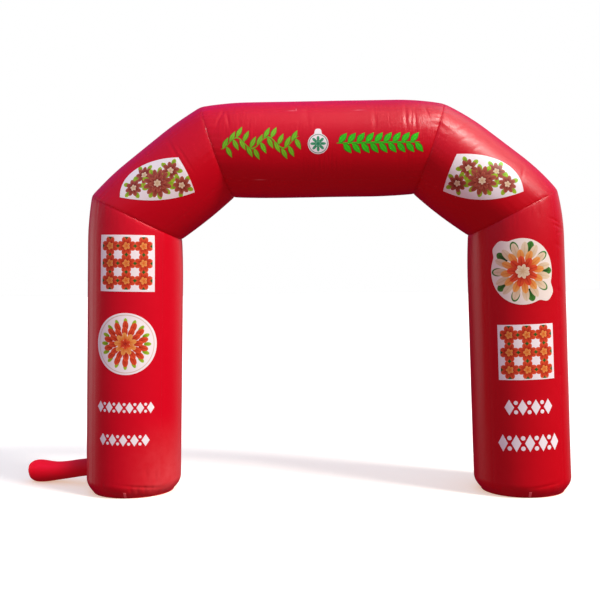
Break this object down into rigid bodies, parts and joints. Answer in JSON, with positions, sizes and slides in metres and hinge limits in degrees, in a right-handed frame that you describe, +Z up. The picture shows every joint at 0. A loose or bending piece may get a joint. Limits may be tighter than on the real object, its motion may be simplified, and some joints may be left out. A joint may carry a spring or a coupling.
{
  "type": "inflatable arch",
  "caption": "Walk-through inflatable arch of mitred fabric tubes on two round feet, with an air sleeve and applied print panels.",
  "frame": {"origin": "centre of the whole object's box at ground level, the air sleeve included", "axes": "+X along the width of the arch, away from the leg with the air sleeve; -Y is the printed front; +Z up"},
  "size_m": [5.2484, 0.9034, 3.644],
  "materials": {
    "coated_fabric": "satin coated red nylon",
    "base_fabric": "matt heavier coated red fabric",
    "print_panel": "satin white printed panel",
    "webbing": "woven pinkish red webbing"
  },
  "bodies": {
    "root": {"leg_left": "coated_fabric", "shoulder_left": "coated_fabric", "beam": "coated_fabric", "shoulder_right": "coated_fabric", "leg_right": "coated_fabric", "inlet_sleeve": "coated_fabric", "base_disc_left": "base_fabric", "base_disc_right": "base_fabric", "print_square_left": "print_panel", "print_round_left": "print_panel", "print_oval_left": "print_panel", "print_oval_right": "print_panel", "print_round_right": "print_panel", "print_square_right": "print_panel", "medallion": "print_panel", "anchor_tab_left": "webbing", "anchor_tab_right": "webbing"}
  },
  "joints": []
}
